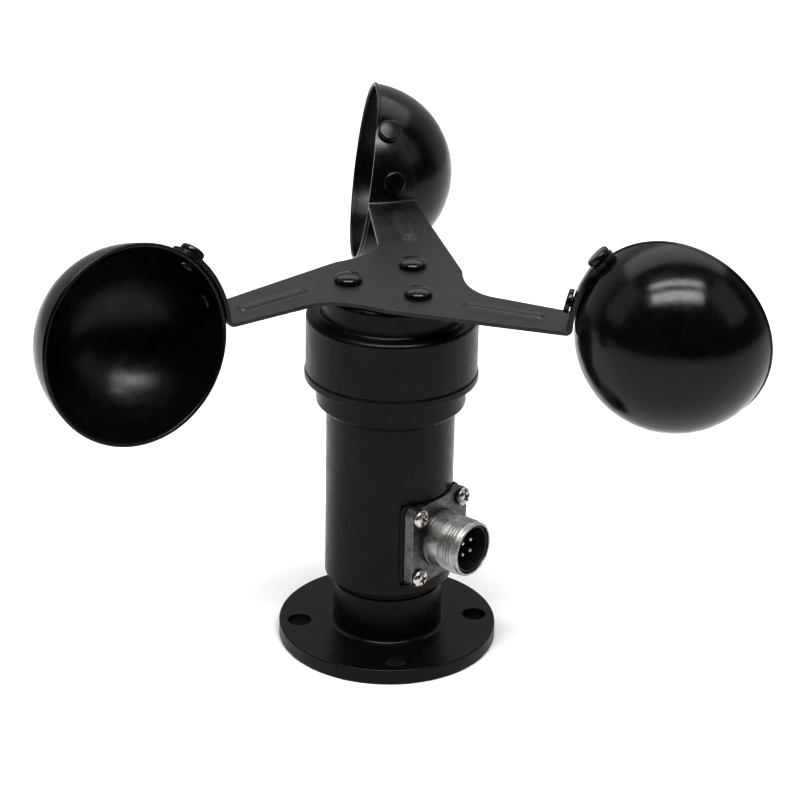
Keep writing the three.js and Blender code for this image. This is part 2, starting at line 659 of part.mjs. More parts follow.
const cages = new THREE.Group();
cages.add(ballCage("lower_bearing_cage", BEARING.lowerAt));
cages.add(ballCage("upper_bearing_cage", BEARING.upperAt));

const rotor = new THREE.Group();
rotor.add(rotorShaft(), retainingRing(), encoderDisc(), encoderCollar());
rotor.add(innerRace("lower_bearing_inner_race", BEARING.lowerAt));
rotor.add(innerRace("upper_bearing_inner_race", BEARING.upperAt));
rotor.add(rotorHub(), hubWasher(), hubNut(), cupArmSpider(), ...hubRivets());
for (let arm = 0; arm < 3; arm += 1) {
  rotor.add(windCup(arm), ...cupRivets(arm));
}

const anemometer = new THREE.Group();
anemometer.add(housing, cages, rotor);

export default anemometer;
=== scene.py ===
"""Three-cup anemometer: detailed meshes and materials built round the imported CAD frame.

Lengths are named in millimetres and turned into metres by MM as each mesh is made. +Z is up, the
spindle is the Z axis, and the connector points along +X.
"""
import json
import math
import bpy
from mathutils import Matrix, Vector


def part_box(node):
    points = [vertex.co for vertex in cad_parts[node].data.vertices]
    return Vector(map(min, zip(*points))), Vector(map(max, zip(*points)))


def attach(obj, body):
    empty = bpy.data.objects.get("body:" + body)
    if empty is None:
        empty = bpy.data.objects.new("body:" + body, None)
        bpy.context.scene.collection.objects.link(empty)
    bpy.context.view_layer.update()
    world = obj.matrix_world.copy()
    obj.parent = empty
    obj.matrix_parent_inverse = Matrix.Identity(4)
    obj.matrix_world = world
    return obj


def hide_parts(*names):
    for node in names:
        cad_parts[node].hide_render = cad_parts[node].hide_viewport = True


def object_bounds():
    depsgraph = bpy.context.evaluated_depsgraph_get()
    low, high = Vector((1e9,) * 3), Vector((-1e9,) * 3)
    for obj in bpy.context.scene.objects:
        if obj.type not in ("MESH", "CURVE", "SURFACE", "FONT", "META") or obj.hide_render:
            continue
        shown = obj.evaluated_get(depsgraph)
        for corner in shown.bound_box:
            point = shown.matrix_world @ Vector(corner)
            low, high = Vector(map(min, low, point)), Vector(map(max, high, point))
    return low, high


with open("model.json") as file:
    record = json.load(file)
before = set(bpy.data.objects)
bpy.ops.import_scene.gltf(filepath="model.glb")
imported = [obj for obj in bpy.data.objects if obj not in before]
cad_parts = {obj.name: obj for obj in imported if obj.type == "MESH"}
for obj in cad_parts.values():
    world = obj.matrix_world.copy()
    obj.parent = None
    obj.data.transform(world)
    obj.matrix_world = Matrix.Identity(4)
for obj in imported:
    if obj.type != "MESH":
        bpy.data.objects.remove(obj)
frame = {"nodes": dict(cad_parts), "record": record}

from types import SimpleNamespace as Sizes

import bmesh
import bpy
import numpy as np
from mathutils import Matrix, Vector
from mathutils.geometry import delaunay_2d_cdt

CAD_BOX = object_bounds()
MM = 0.001


def span(node):
    """Lowest and highest corner of a CAD node at rest, in millimetres."""
    low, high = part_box(node)
    return low / MM, high / MM


# ---------------------------------------------------------------- driving dimensions, millimetres

FLANGE_BOX, TUBE_BOX, HUB_BOX = span("base_flange"), span("body_tube"), span("rotor_hub")
SHELL_BOX, CARRIER_BOX = span("connector_shell"), span("bearing_carrier")
GAP = 0.3  # room left between neighbouring solids
THROUGH = 30  # where a drill ends when it must pass right through

BASE = Sizes(radius=FLANGE_BOX[1].x, thick=4.7, neck=16.2, fillet=1.3, hole=3.55, hole_circle=26.4,
             seal_low=18.8, seal=15.1, neck_top=21.1, spigot=12.5, spigot_top=FLANGE_BOX[1].z, bore=9.6)
TUBE = Sizes(radius=-TUBE_BOX[0].x, bore=12.8, low=TUBE_BOX[0].z, top=TUBE_BOX[1].z)
CONNECTOR = Sizes(height=(SHELL_BOX[0].z + SHELL_BOX[1].z) / 2, pocket_floor=14.3, pocket_half=13.2,
                  half=SHELL_BOX[1].y, corner=2.4, gasket=1.4, plate=3.0, spacing=19.5, rear=7.0,
                  bore=6.2, mouth=7.1, collar=8.7, collar_length=1.3, neck=8.15, neck_length=4.1,
                  thread=8.4, thread_depth=0.62, pitch=1.0, threads=6, rear_length=8.0, pin=0.7,
                  pin_circle=2.55, pin_reach=2.2, face_depth=8.2, wall=0.6, wall_front=0.5,
                  screw_hole=1.75, gasket_hole=1.9, back=16.3, front=SHELL_BOX[1].x)
CARRIER = Sizes(ring=CARRIER_BOX[1].x, low=75.7, top=HUB_BOX[0].z - GAP, chamfer=1.8, tower=15.0,
                tower_top=CARRIER_BOX[1].z, spigot=12.5, spigot_low=CARRIER_BOX[0].z, bore=11.2,
                lip=9.3, lip_top=67.5)
HUB = Sizes(lip=HUB_BOX[1].x, low=HUB_BOX[0].z, lip_top=87.4, radius=24.95, shoulder=104.7, cavity=23.2,
            ceiling=101.5, boss=20.8, top=HUB_BOX[1].z, well=7.6, well_floor=107.0, bore=3.4)
PLATE = Sizes(low=HUB_BOX[1].z + GAP, thick=1.2, fold=1.7, hole=2.1, rivet_circle=12.8, rivet_angle=-25.8)
PLATE.middle = PLATE.low + PLATE.thick / 2
# reach and side place each cup's centre along and across its arm. facing and tilt aim it, in degrees.
CUP = Sizes(radius=27.9, wall=0.9, bead=0.62, reach=(91.1, 84.6, 84.6), side=(10.0, 9.3, 9.3),
            height=114.2, facing=94.6, tilt=7.5)
# outer and middle are radii from the cup's centre. near and far lie behind the cup's mouth.
STRAP = Sizes(outer=29.6, middle=29.05, near=-0.3, far=13.9, hole=1.6)
# Each rivet's distance behind the cup's mouth, and its angle up round the cup in degrees.
CUP_RIVETS = {"upper": Sizes(behind=3.6, rise=45), "lower": Sizes(behind=6.5, rise=14.6)}
RIB = Sizes(half=2.1, rise=1.15, inner=(27.6, -4.6), outer=(47.5, -1.0))
FIRST_ARM = 129  # direction of the first arm at rest, degrees from +X
ARMS = range(3)
SHARP_ANGLE = 38  # edges that turn by more degrees than this stay sharp


# ---------------------------------------------------------------- mesh helpers

def shift(x, y, z):
    """A move given in millimetres."""
    return Matrix.Translation(Vector((x, y, z)) * MM)


def turn(degrees, axis):
    return Matrix.Rotation(math.radians(degrees), 4, axis)


def polar(radius, degrees):
    return radius * math.cos(math.radians(degrees)), radius * math.sin(math.radians(degrees))


def add_mesh(name, bm):
    mesh = bpy.data.meshes.new(name)
    bm.to_mesh(mesh)
    bm.free()
    piece = bpy.data.objects.new(name, mesh)
    bpy.context.scene.collection.objects.link(piece)
    return piece


def baked(piece):
    """Turns the piece's modifiers into plain mesh."""
    graph = bpy.context.evaluated_depsgraph_get()
    mesh = bpy.data.meshes.new_from_object(piece.evaluated_get(graph))
    piece.modifiers.clear()
    piece.data = mesh
    return piece


def bevelled(piece, width, angle=50, segments=3):
    """Rounds the piece's sharp edges to a radius of about width."""
    bevel = piece.modifiers.new("bevel", "BEVEL")
    bevel.width = width * MM
    bevel.segments = segments
    bevel.limit_method = "ANGLE"
    bevel.angle_limit = math.radians(angle)
    bevel.use_clamp_overlap = True
    return baked(piece)


def carved(piece, *tools, operation="DIFFERENCE"):
    """Cuts the tools out of the piece, or joins them to it, and removes them."""
    for tool in tools:
        cut = piece.modifiers.new("cut", "BOOLEAN")
        cut.operation = operation
        cut.solver = "EXACT"
        cut.object = tool
    baked(piece)
    for tool in tools:
        bpy.data.objects.remove(tool)
    return piece


def rounded(corners, steps=5):
    """The points of a profile. A corner (r, z, radius) becomes an arc of that radius."""
    points = []
    for i, corner in enumerate(corners):
        here = Vector(corner[:2])
        if len(corner) == 2:
            points.append(tuple(here))
            continue
        before = (Vector(corners[i - 1][:2]) - here).normalized()
        after = (Vector(corners[(i + 1) % len(corners)][:2]) - here).normalized()
        half = before.angle(after) / 2
        centre = here + (before + after).normalized() * corner[2] / math.sin(half)
        reach = corner[2] / math.tan(half)
        start, end = here + before * reach - centre, here + after * reach - centre
        first = math.atan2(start.y, start.x)
        sweep = math.remainder(math.atan2(end.y, end.x) - first, 2 * math.pi)
        for step in range(steps + 1):
            a = first + sweep * step / steps
            points.append((centre.x + corner[2] * math.cos(a), centre.y + corner[2] * math.sin(a)))
    return points


def arc(r, z, radius, start, end, steps=8):
    """Points of an arc in the profile plane, between two angles in degrees."""
    angles = [math.radians(start + (end - start) * i / steps) for i in range(steps + 1)]
    return [(r + radius * math.cos(a), z + radius * math.sin(a)) for a in angles]


def turned(name, profile, steps=128):
    """A solid of revolution about Z from a profile that closes on itself or ends on the axis."""
    bm = bmesh.new()
    rings = []
    for r, z in profile:
        if r < 1e-6:
            rings.append([bm.verts.new((0, 0, z * MM))] * steps)
            continue
        around = [polar(r, 360 * i / steps) for i in range(steps)]
        rings.append([bm.verts.new((x * MM, y * MM, z * MM)) for x, y in around])
    for low, high in zip(rings, rings[1:] + rings[:1]):
        for i in range(steps):
            j = (i + 1) % steps
            corners = dict.fromkeys((low[i], low[j], high[j], high[i]))
            if len(corners) > 2:
                bm.faces.new(corners)
    bmesh.ops.recalc_face_normals(bm, faces=bm.faces)
    return add_mesh(name, bm)


def rod(radius, low, high, steps=48):
    return turned("tool", [(0, low), (radius, low), (radius, high), (0, high)], steps)


def block(size, centre):
    """A cutting block of the given size and centre."""
    bm = bmesh.new()
    bmesh.ops.create_cube(bm, size=MM)
    bmesh.ops.scale(bm, vec=size, verts=bm.verts)
    bmesh.ops.translate(bm, vec=Vector(centre) * MM, verts=bm.verts)
    return add_mesh("tool", bm)


def rounded_square(name, half, corner, low, high):
    """A square slab with round corners, standing along Z."""
    centres = [(half - corner, half - corner), (corner - half, half - corner),
               (corner - half, corner - half), (half - corner, corner - half)]
    bm = bmesh.new()
    outline = []
    for quarter, (x, y) in enumerate(centres):
        outline += arc(x, y, corner, 90 * quarter, 90 * quarter + 90, 10)
    floor = bm.faces.new([bm.verts.new((x * MM, y * MM, low * MM)) for x, y in outline])
    lifted = bmesh.ops.extrude_face_region(bm, geom=[floor])["geom"]
    top = [v for v in lifted if isinstance(v, bmesh.types.BMVert)]
    bmesh.ops.translate(bm, vec=(0, 0, (high - low) * MM), verts=top)
    bmesh.ops.recalc_face_normals(bm, faces=bm.faces)
    return add_mesh(name, bm)


def moved(piece, matrix):
    piece.data.transform(matrix)
    return piece


def finished(piece, body, nodes, material):
    """Smooths the piece, gives it its finish and sets it in the frame in place of its CAD nodes."""
    piece.data.shade_smooth()
    piece.data.set_sharp_from_angle(angle=math.radians(SHARP_ANGLE))
    piece.modifiers.new("normals", "WEIGHTED_NORMAL").keep_sharp = True
    baked(piece)
    piece.data.materials.clear()
    piece.data.materials.append(material)
    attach(piece, body)
    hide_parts(*nodes)
    return piece


def repainted(piece, material, chosen):
    """Gives a second finish to the faces whose middle, in millimetres, is chosen."""
    piece.data.materials.append(material)
    for face in piece.data.polygons:
        face.material_index = int(chosen(face.center / MM))
    return piece


# ---------------------------------------------------------------- material helpers

class Finish:
    """A Principled material whose textures lie in the piece's own coordinates."""

    def __init__(self, name, metallic=0.0, specular=0.5):
        self.material = bpy.data.materials.new(name)
        self.material.use_nodes = True
        self.tree = self.material.node_tree
        self.tree.nodes.clear()
        self.shader = self.node("BsdfPrincipled")
        self.link(self.shader.outputs[0], self.node("OutputMaterial").inputs[0])
        self.shader.inputs["Metallic"].default_value = metallic
        self.shader.inputs["Specular IOR Level"].default_value = specular
        self.place = self.node("TexCoord").outputs["Object"]
        self.normal = None

    def node(self, kind, **settings):
        made = self.tree.nodes.new("ShaderNode" + kind)
        for key, value in settings.items():
            setattr(made, key, value)
        return made

    def link(self, source, target):
        self.tree.links.new(source, target)

    def stretched(self, x, y, z):
        """The piece's coordinates, stretched along each axis."""
        mapping = self.node("Mapping", vector_type="TEXTURE")
        mapping.inputs["Scale"].default_value = (x, y, z)
        self.link(self.place, mapping.inputs["Vector"])
        return mapping.outputs[0]

    def noise(self, feature, detail=3.0, roughness=0.55, place=None):
        """Noise with features of about this many millimetres."""
        made = self.node("TexNoise")
        self.link(place or self.place, made.inputs["Vector"])
        made.inputs["Scale"].default_value = 1 / (feature * MM)
        made.inputs["Detail"].default_value = detail
        made.inputs["Roughness"].default_value = roughness
        return made.outputs["Fac"]

    def ranged(self, value, low, high, to_low=0.0, to_high=1.0):
        """Runs smoothly from to_low to to_high as the value goes from low to high."""
        made = self.node("MapRange", interpolation_type="SMOOTHSTEP")
        self.link(value, made.inputs["Value"])
        for key, number in zip(("From Min", "From Max", "To Min", "To Max"), (low, high, to_low, to_high)):
            made.inputs[key].default_value = number
        return made.outputs["Result"]

    def maths(self, operation, a, b):
        made = self.node("Math", operation=operation)
        for socket, value in zip(made.inputs, (a, b)):
            if isinstance(value, (int, float)):
                socket.default_value = value
            else:
                self.link(value, socket)
        return made.outputs[0]

    def mixed(self, factor, a, b):
        """A colour between a and b, each a colour or an output."""
        made = self.node("Mix", data_type="RGBA")
        self.link(factor, made.inputs["Factor"])
        for key, value in ((6, a), (7, b)):
            if isinstance(value, tuple):
                made.inputs[key].default_value = (*value, 1)
            else:
                self.link(value, made.inputs[key])
        return made.outputs[2]

    def bump(self, height, depth):
        """Raises the surface by height times depth millimetres, on top of earlier bumps."""
        made = self.node("Bump")
        made.inputs["Distance"].default_value = depth * MM
        made.inputs["Strength"].default_value = 1.0
        self.link(height, made.inputs["Height"])
        if self.normal:
            self.link(self.normal, made.inputs["Normal"])
        self.normal = made.outputs["Normal"]

    def specks(self, cell, radius, share):
        """A mask of sparse round specks: one in a share of the cells, of this radius in millimetres."""
        made = self.node("TexVoronoi")
        made.inputs["Scale"].default_value = 1 / (cell * MM)
        self.link(self.place, made.inputs["Vector"])
        near = self.ranged(made.outputs["Distance"], radius / cell, 0.5 * radius / cell)
        parts = self.node("SeparateColor")
        self.link(made.outputs["Color"], parts.inputs[0])
        chosen = self.maths("LESS_THAN", parts.outputs[0], share)
        return self.maths("MULTIPLY", near, chosen)

    def edges(self, radius):
        """A mask of the piece's outer and inner edges within a radius in millimetres."""
        low, high = 0.02, 0.16  # how far the rounded normal leaves the flat one
        bevel = self.node("Bevel", samples=4)
        bevel.inputs["Radius"].default_value = radius * MM
        flat = self.node("NewGeometry")
        dot = self.node("VectorMath", operation="DOT_PRODUCT")
        self.link(bevel.outputs[0], dot.inputs[0])
        self.link(flat.outputs["Normal"], dot.inputs[1])
        return self.ranged(self.maths("SUBTRACT", 1.0, dot.outputs["Value"]), low, high)

    def done(self, colour, roughness):
        self.link(colour, self.shader.inputs["Base Color"])
        self.link(roughness, self.shader.inputs["Roughness"])
        if self.normal:
            self.link(self.normal, self.shader.inputs["Normal"])
        return self.material


def paint(name, roughness, peel=0.9, peel_depth=0.012, wear=0.5, specular=0.4):
    """Black sprayed enamel: faint tone changes, orange peel, dust and a little wear on the edges."""
    f = Finish(name, specular=specular)
    deep_black, soft_black = (0.0028, 0.0028, 0.0031), (0.0058, 0.0054, 0.0056)
    worn_brown, dust_grey = (0.075, 0.062, 0.052), (0.34, 0.33, 0.31)
    tone = f.mixed(f.ranged(f.noise(9, 4), 0.35, 0.7), deep_black, soft_black)
    scuffed = f.maths("MULTIPLY", f.edges(0.35), f.ranged(f.noise(2.2, 5), 0.5, 0.72, 0, wear))
    worn = f.mixed(scuffed, tone, worn_brown)
    dust = f.specks(1.7, 0.11, 0.09)
    colour = f.mixed(dust, worn, dust_grey)
    gloss = f.ranged(f.noise(3.5, 4), 0.3, 0.75, roughness - 0.04, roughness + 0.06)
    rough = f.maths("MAXIMUM", f.maths("MAXIMUM", gloss, f.maths("MULTIPLY", scuffed, 0.6)),
                    f.maths("MULTIPLY", dust, 0.8))
    f.bump(f.noise(peel, 2, 0.4), peel_depth)
    f.bump(f.noise(peel * 0.28, 1, 0.5), peel_depth * 0.22)
    f.bump(dust, 0.04)
    return f.done(colour, rough)


def rubber(name):
    f = Finish(name, specular=0.3)
    tone = f.mixed(f.ranged(f.noise(4, 5), 0.3, 0.7), (0.007, 0.007, 0.0075), (0.017, 0.016, 0.016))
    f.bump(f.noise(0.35, 3, 0.6), 0.03)
    return f.done(tone, f.ranged(f.noise(2, 3), 0.3, 0.7, 0.62, 0.8))


def plastic(name, dark, light, roughness=0.42):
    """Moulded plastic with a fine spark-eroded grain."""
    f = Finish(name)
    tone = f.mixed(f.ranged(f.noise(3, 4), 0.3, 0.7), dark, light)
    f.bump(f.noise(0.18, 2), 0.012)
    return f.done(tone, f.ranged(f.noise(1.2, 3), 0.3, 0.7, roughness - 0.06, roughness + 0.08))


def cast_metal(name):
    """Grey die-cast metal: grainy, blotched, and polished through along its edges."""
    f = Finish(name, metallic=1.0)
    blotch = f.mixed(f.ranged(f.noise(3.2, 6, 0.65), 0.3, 0.72), (0.10, 0.10, 0.102), (0.20, 0.198, 0.195))
    rubbed = f.maths("MULTIPLY", f.edges(0.3), f.ranged(f.noise(1.1, 4), 0.25, 0.6))
    tone = f.mixed(rubbed, blotch, (0.46, 0.455, 0.45))
    f.bump(f.noise(0.55, 4, 0.6), 0.03)
    return f.done(tone, f.ranged(f.noise(1.4, 4), 0.3, 0.7, 0.36, 0.52))


def turned_metal(name, tone_low, tone_high, roughness, axis="x", groove=0.012):
    """Machined metal, with fine rings left by the tool round the given axis."""
    f = Finish(name, metallic=1.0)
    along = {"x": (1, 60, 60), "z": (60, 60, 1)}[axis]
    rings = f.noise(0.16, 3, 0.6, f.stretched(*along))
    tone = f.mixed(f.ranged(f.noise(1.8, 5), 0.3, 0.72), tone_low, tone_high)
    f.bump(rings, groove)
    return f.done(tone, f.ranged(rings, 0.3, 0.7, roughness - 0.05, roughness + 0.09))


def plated(name, tone_low, tone_high, roughness):
    """Bright plating with small stains and handling marks."""
    f = Finish(name, metallic=1.0)
    stain = f.ranged(f.noise(1.3, 6, 0.7), 0.5, 0.8)
    tone = f.mixed(stain, tone_high, tone_low)
    f.bump(f.noise(0.3, 3), 0.01)
    return f.done(tone, f.ranged(f.noise(0.8, 4), 0.3, 0.75, roughness - 0.06, roughness + 0.14))


def board_material(name):
    """Green solder mask over copper tracks."""
    f = Finish(name)
    tracks = f.ranged(f.noise(1.4, 0.0, place=f.stretched(1, 1, 50)), 0.49, 0.52)
    tone = f.mixed(tracks, (0.008, 0.062, 0.022), (0.016, 0.118, 0.043))
    f.bump(tracks, 0.03)
    return f.done(tone, f.ranged(f.noise(2, 3), 0.3, 0.7, 0.28, 0.4))


def insulation(name, colour):
    """The coloured sleeve of a wire."""
    f = Finish(name)
    darker = tuple(0.72 * c for c in colour)
    tone = f.mixed(f.ranged(f.noise(2.5, 4), 0.3, 0.7), darker, colour)
    f.bump(f.noise(0.4, 3), 0.012)
    return f.done(tone, f.ranged(f.noise(1.5, 3), 0.3, 0.7, 0.34, 0.48))


BODY_PAINT = paint("body_enamel", 0.3, specular=0.25)
PLATE_PAINT = paint("spider_enamel", 0.38, wear=1.0, specular=0.6)
CUP_PAINT = paint("cup_enamel", 0.19, peel=0.8, peel_depth=0.005, wear=0.6, specular=0.36)
CUP_INSIDE_PAINT = paint("cup_inside_enamel", 0.28, peel=0.9, peel_depth=0.008, wear=0.4, specular=0.32)
STRAP_PAINT = paint("strap_enamel", 0.24, peel=0.8, peel_depth=0.007, wear=0.8, specular=0.5)
RIVET_PAINT = paint("rivet_enamel", 0.2, peel=0.7, peel_depth=0.008, wear=0.4, specular=0.45)
RUBBER = rubber("black_rubber")
INSERT_PLASTIC = plastic("insert_plastic", (0.012, 0.012, 0.013), (0.024, 0.023, 0.022))
CHIP_PLASTIC = plastic("chip_plastic", (0.010, 0.010, 0.011), (0.02, 0.02, 0.02), 0.5)
FLANGE_METAL = cast_metal("cast_flange")
# The barrel is the same metal as the connector's square plate. Its lighter tone is a painted highlight;
# only its fine turned rings are real.
BARREL_PAINTED_HIGHLIGHT_METAL = turned_metal("turned_barrel_painted_highlight", (0.34, 0.335, 0.33), (0.52, 0.51, 0.5), 0.42, groove=0.02)
NICKEL = plated("nickel_plate", (0.20, 0.165, 0.14), (0.54, 0.51, 0.48), 0.26)
STEEL = turned_metal("ground_steel", (0.42, 0.42, 0.43), (0.62, 0.62, 0.63), 0.24, "z", 0.006)
BOARD = board_material("solder_mask")
CAD_FINISHES = {
    "body_paint": BODY_PAINT, "rotor_paint": PLATE_PAINT, "rubber": RUBBER, "connector_metal": FLANGE_METAL,
    "nickel": NICKEL, "black_plastic": CHIP_PLASTIC, "steel": STEEL, "circuit_board": BOARD,
    "wire_red": insulation("red_sleeve", (0.42, 0.018, 0.016)),
    "wire_black": insulation("black_sleeve", (0.022, 0.022, 0.022)),
    "wire_green": insulation("green_sleeve", (0.03, 0.21, 0.05)),
    "wire_yellow": insulation("yellow_sleeve", (0.62, 0.42, 0.03)),
}


# ---------------------------------------------------------------- base and body

def base_flange():
    b = BASE
    edge, corner = 0.55, 0.3
    disc = turned("base_flange_body", rounded([
        (0, 0), (b.radius, 0, edge), (b.radius, b.thick, edge), (b.neck, b.thick, b.fillet),
        (b.neck, b.seal_low, corner), (b.seal, b.seal_low), (b.seal, b.neck_top), (b.spigot, b.neck_top),
        (b.spigot, b.spigot_top, corner), (b.bore, b.spigot_top, corner), (b.bore, b.thick), (0, b.thick),
    ]), 160)
    holes = []
    for quarter in range(4):
        x, y = polar(b.hole_circle, 45 + 90 * quarter)
        holes.append(moved(rod(b.hole, -2, b.thick + 2), shift(x, y, 0)))
    carved(disc, *holes)
    bevelled(disc, 0.22, angle=60)
    return finished(disc, "housing", ["base_flange"], BODY_PAINT)


def neck_seal():
    low, high = span("neck_seal")
    ring = rounded([(BASE.seal + GAP / 2, low.z), (high.x, low.z, 0.4), (high.x, high.z, 0.4),
                    (BASE.seal + GAP / 2, high.z)])
    return finished(turned("neck_seal_ring", ring), "housing", ["neck_seal"], RUBBER)


def along_x(piece, y=0.0, z=0.0):
    """Turns a piece made about Z to point along +X, at the connector's height."""
    return moved(piece, shift(0, y, CONNECTOR.height + z) @ turn(90, "Y"))


def screw_places():
    half = CONNECTOR.spacing / 2
    return [(half, half), (-half, half), (-half, -half), (half, -half)]


def body_tube():
    t, c = TUBE, CONNECTOR
    tube = turned("body_tube_shell", rounded([
        (t.bore, t.low, 0.3), (t.radius, t.low, 0.6), (t.radius, t.top, 0.3), (t.bore, t.top, 0.3)]), 160)
    pocket = block((t.radius, 4 * c.pocket_half, 2 * c.pocket_half),
                   (c.pocket_floor + t.radius / 2, 0, c.height))
    drill_tip = 9.5
    holes = [along_x(rod(c.screw_hole, drill_tip, t.radius), y, z) for y, z in screw_places()]
    carved(tube, pocket, along_x(rod(c.rear + GAP, 0, t.radius)), *holes)
    bevelled(tube, 0.25, angle=55)
    return finished(tube, "housing", ["body_tube"], BODY_PAINT)


def bearing_carrier():
    c = CARRIER
    profile = rounded([
        (c.lip, c.spigot_low), (c.spigot, c.spigot_low, 0.3), (c.spigot, c.low),
        (c.ring - c.chamfer, c.low, 0.2), (c.ring, c.low + c.chamfer, 0.5), (c.ring, c.top, 0.4),
        (c.tower, c.top, 0.4), (c.tower, c.tower_top, 0.3), (c.bore, c.tower_top, 0.3),
        (c.bore, c.lip_top), (c.lip, c.lip_top)])
    return finished(turned("bearing_carrier_body", profile), "housing",
                    ["bearing_carrier"], BODY_PAINT)


# ---------------------------------------------------------------- connector

def connector_gasket():
    c = CONNECTOR
    low = c.pocket_floor + GAP
    slab = rounded_square("connector_gasket_sheet", c.half + 0.2, c.corner, low, low + c.gasket)
    holes = [moved(rod(c.gasket_hole, 0, THROUGH), shift(x, y, 0)) for x, y in screw_places()]
    carved(slab, rod(c.rear + 2 * GAP, 0, THROUGH, 96), *holes)
    bevelled(slab, 0.2)
    return finished(along_x(slab), "housing", ["connector_gasket"], RUBBER)


def raise_thread(piece, low, high):
    """Lifts a helical ridge on the outside of the barrel between two heights."""
    c = CONNECTOR
    for vertex in piece.data.vertices:
        x, y, z = vertex.co / MM
        reach = math.hypot(x, y)
        if not (low < z < high and reach > c.mouth + 0.5):
            continue
        phase = (z - low) / c.pitch - math.atan2(y, x) / (2 * math.pi)
        fade = min(1, (z - low) / c.pitch, (high - z) / c.pitch)
        ridge = c.thread_depth * fade * (0.5 + 0.5 * math.cos(2 * math.pi * phase)) ** 0.8
        vertex.co.xy *= 1 + ridge / reach


def connector_shell():
    c = CONNECTOR
    front_plate = c.back + c.plate
    collar_end = front_plate + c.collar_length
    neck_end = collar_end + c.neck_length
    thread_end = neck_end + c.threads * c.pitch
    root, rows_each = c.thread - c.thread_depth, 10
    rows = [(root, neck_end + c.pitch * i / rows_each) for i in range(rows_each * c.threads + 1)]
    rim, mouth_floor = root + 0.4, c.front - c.face_depth - 1
    barrel = turned("connector_shell_body", rounded([
        (c.bore + GAP, c.back - c.rear_length), (c.rear, c.back - c.rear_length, 0.3),
        (c.rear, c.back + 1), (c.collar, c.back + 1), (c.collar, collar_end, 0.5),
        (c.neck, collar_end, 0.35), (c.neck, neck_end - 0.2, 0.1), *rows,
        (root + 0.1, thread_end + 0.2), (rim, thread_end + 0.5), (rim, c.front, 0.5),
        (c.mouth + GAP, c.front, 0.15), (c.mouth + GAP, mouth_floor), (c.bore + GAP, mouth_floor)]), 144)
    raise_thread(barrel, neck_end, thread_end)
    plate = rounded_square("plate", c.half, c.corner, c.back, front_plate)
    holes = [moved(rod(c.screw_hole, 0, THROUGH), shift(x, y, 0)) for x, y in screw_places()]
    carved(plate, rod(c.bore + 1, 0, THROUGH, 96), *holes)
    bevelled(plate, 0.45, segments=4)
    carved(barrel, plate, operation="UNION")
    along_x(barrel)
    finished(barrel, "housing", ["connector_shell"], FLANGE_METAL)
    # From just past the collar, the shell takes the lighter metal: a painted highlight on the same metal as
    # the plate.
    painted_highlight_from, painted_highlight_radius = collar_end + 0.6, c.collar + 0.2
    return repainted(barrel, BARREL_PAINTED_HIGHLIGHT_METAL, lambda p: (
        p.x > painted_highlight_from and math.hypot(p.y, p.z - c.height) < painted_highlight_radius))


def pin_places():
    return [polar(CONNECTOR.pin_circle, 45 + 90 * i) for i in range(4)]


def connector_insert():
    c = CONNECTOR
    back, face, rim = c.back - c.rear_length, c.front - c.face_depth, c.front - c.wall_front
    inner, step = c.mouth - c.wall, face - 0.7
    plug = turned("connector_insert_block", rounded([
        (0, back), (c.bore, back, 0.3), (c.bore, step), (c.mouth, step), (c.mouth, rim, 0.25),
        (inner, rim, 0.25), (inner, face, 0.3), (0, face)]), 96)
    holes = [moved(rod(c.pin + 0.15, back - 1, face + 1, 24), shift(x, y, 0)) for x, y in pin_places()]
    carved(plug, *holes)
    bevelled(plug, 0.12, angle=60, segments=2)
    return finished(along_x(plug), "housing", ["connector_insert"], INSERT_PLASTIC)


def connector_pins():
    c = CONNECTOR
    solder_tail = 2.2
    back, front = c.back - c.rear_length - solder_tail, c.front - c.pin_reach
    for i, (x, y) in enumerate(pin_places()):
        profile = rounded([(0, back), (c.pin, back, 0.15), (c.pin, front, 0.55), (0, front)], 6)
        pin = moved(turned(f"connector_pin_{i + 1}_rod", profile, 32), shift(x, y, 0))
        finished(along_x(pin), "housing", [f"connector_pin_{i + 1}"], NICKEL)


def connector_screws():
    """Pan-head screws with a cross recess, each left at its own angle."""
    seat = CONNECTOR.back + CONNECTOR.plate + GAP
    head, rim, height, shank, tip = 2.75, 0.95, 1.7, 1.4, 10.2
    cross_width, cross_length, cross_depth = 0.62, 3.1, 1.9
    for i, (place, angle) in enumerate(zip(screw_places(), (24, 52, 8, 37))):
        profile = rounded([
            (0, tip), (shank, tip, 0.4), (shank, seat), (head, seat, 0.15), (head, seat + rim, 0.5),
            (head - 1.1, seat + height, 1.0), (0, seat + height)])
        screw = turned(f"connector_screw_{i + 1}_pan_head", profile, 64)
        top = (0, 0, seat + height)
        carved(screw, block((cross_width, cross_length, cross_depth), top),
               block((cross_length, cross_width, cross_depth), top),
               moved(turned("tool", [(0, -1.3), (0.9, 0.1), (0, 0.1)], 24), shift(*top)))
        bevelled(screw, 0.08, angle=55, segments=2)
        moved(screw, turn(angle, "Z"))
        finished(along_x(screw, *place), "housing", [f"connector_screw_{i + 1}"], NICKEL)


# ---------------------------------------------------------------- rotor hub

def rivet_places():
    return [polar(PLATE.rivet_circle, FIRST_ARM + 120 * i + PLATE.rivet_angle) for i in range(3)]


def rotor_hub():
    h = HUB
    hub = turned("rotor_hub_cap", rounded([
        (h.lip, h.low, 0.3), (h.lip, h.lip_top - 0.4, 0.4), (h.radius, h.lip_top + 0.1, 0.4),
        (h.radius, h.shoulder, 1.4), (h.boss, h.shoulder, 1.1), (h.boss, h.top, 1.5), (h.well, h.top, 0.3),
        (h.well, h.well_floor), (h.bore, h.well_floor), (h.bore, h.ceiling), (h.cavity, h.ceiling, 1.0),
        (h.cavity, h.low, 0.2)], 7), 160)
    hole, depth = 2.2, 6
    carved(hub, *[moved(rod(hole, h.top - depth, h.top + 2), shift(x, y, 0)) for x, y in rivet_places()])
    return finished(hub, "rotor", ["rotor_hub"], BODY_PAINT)


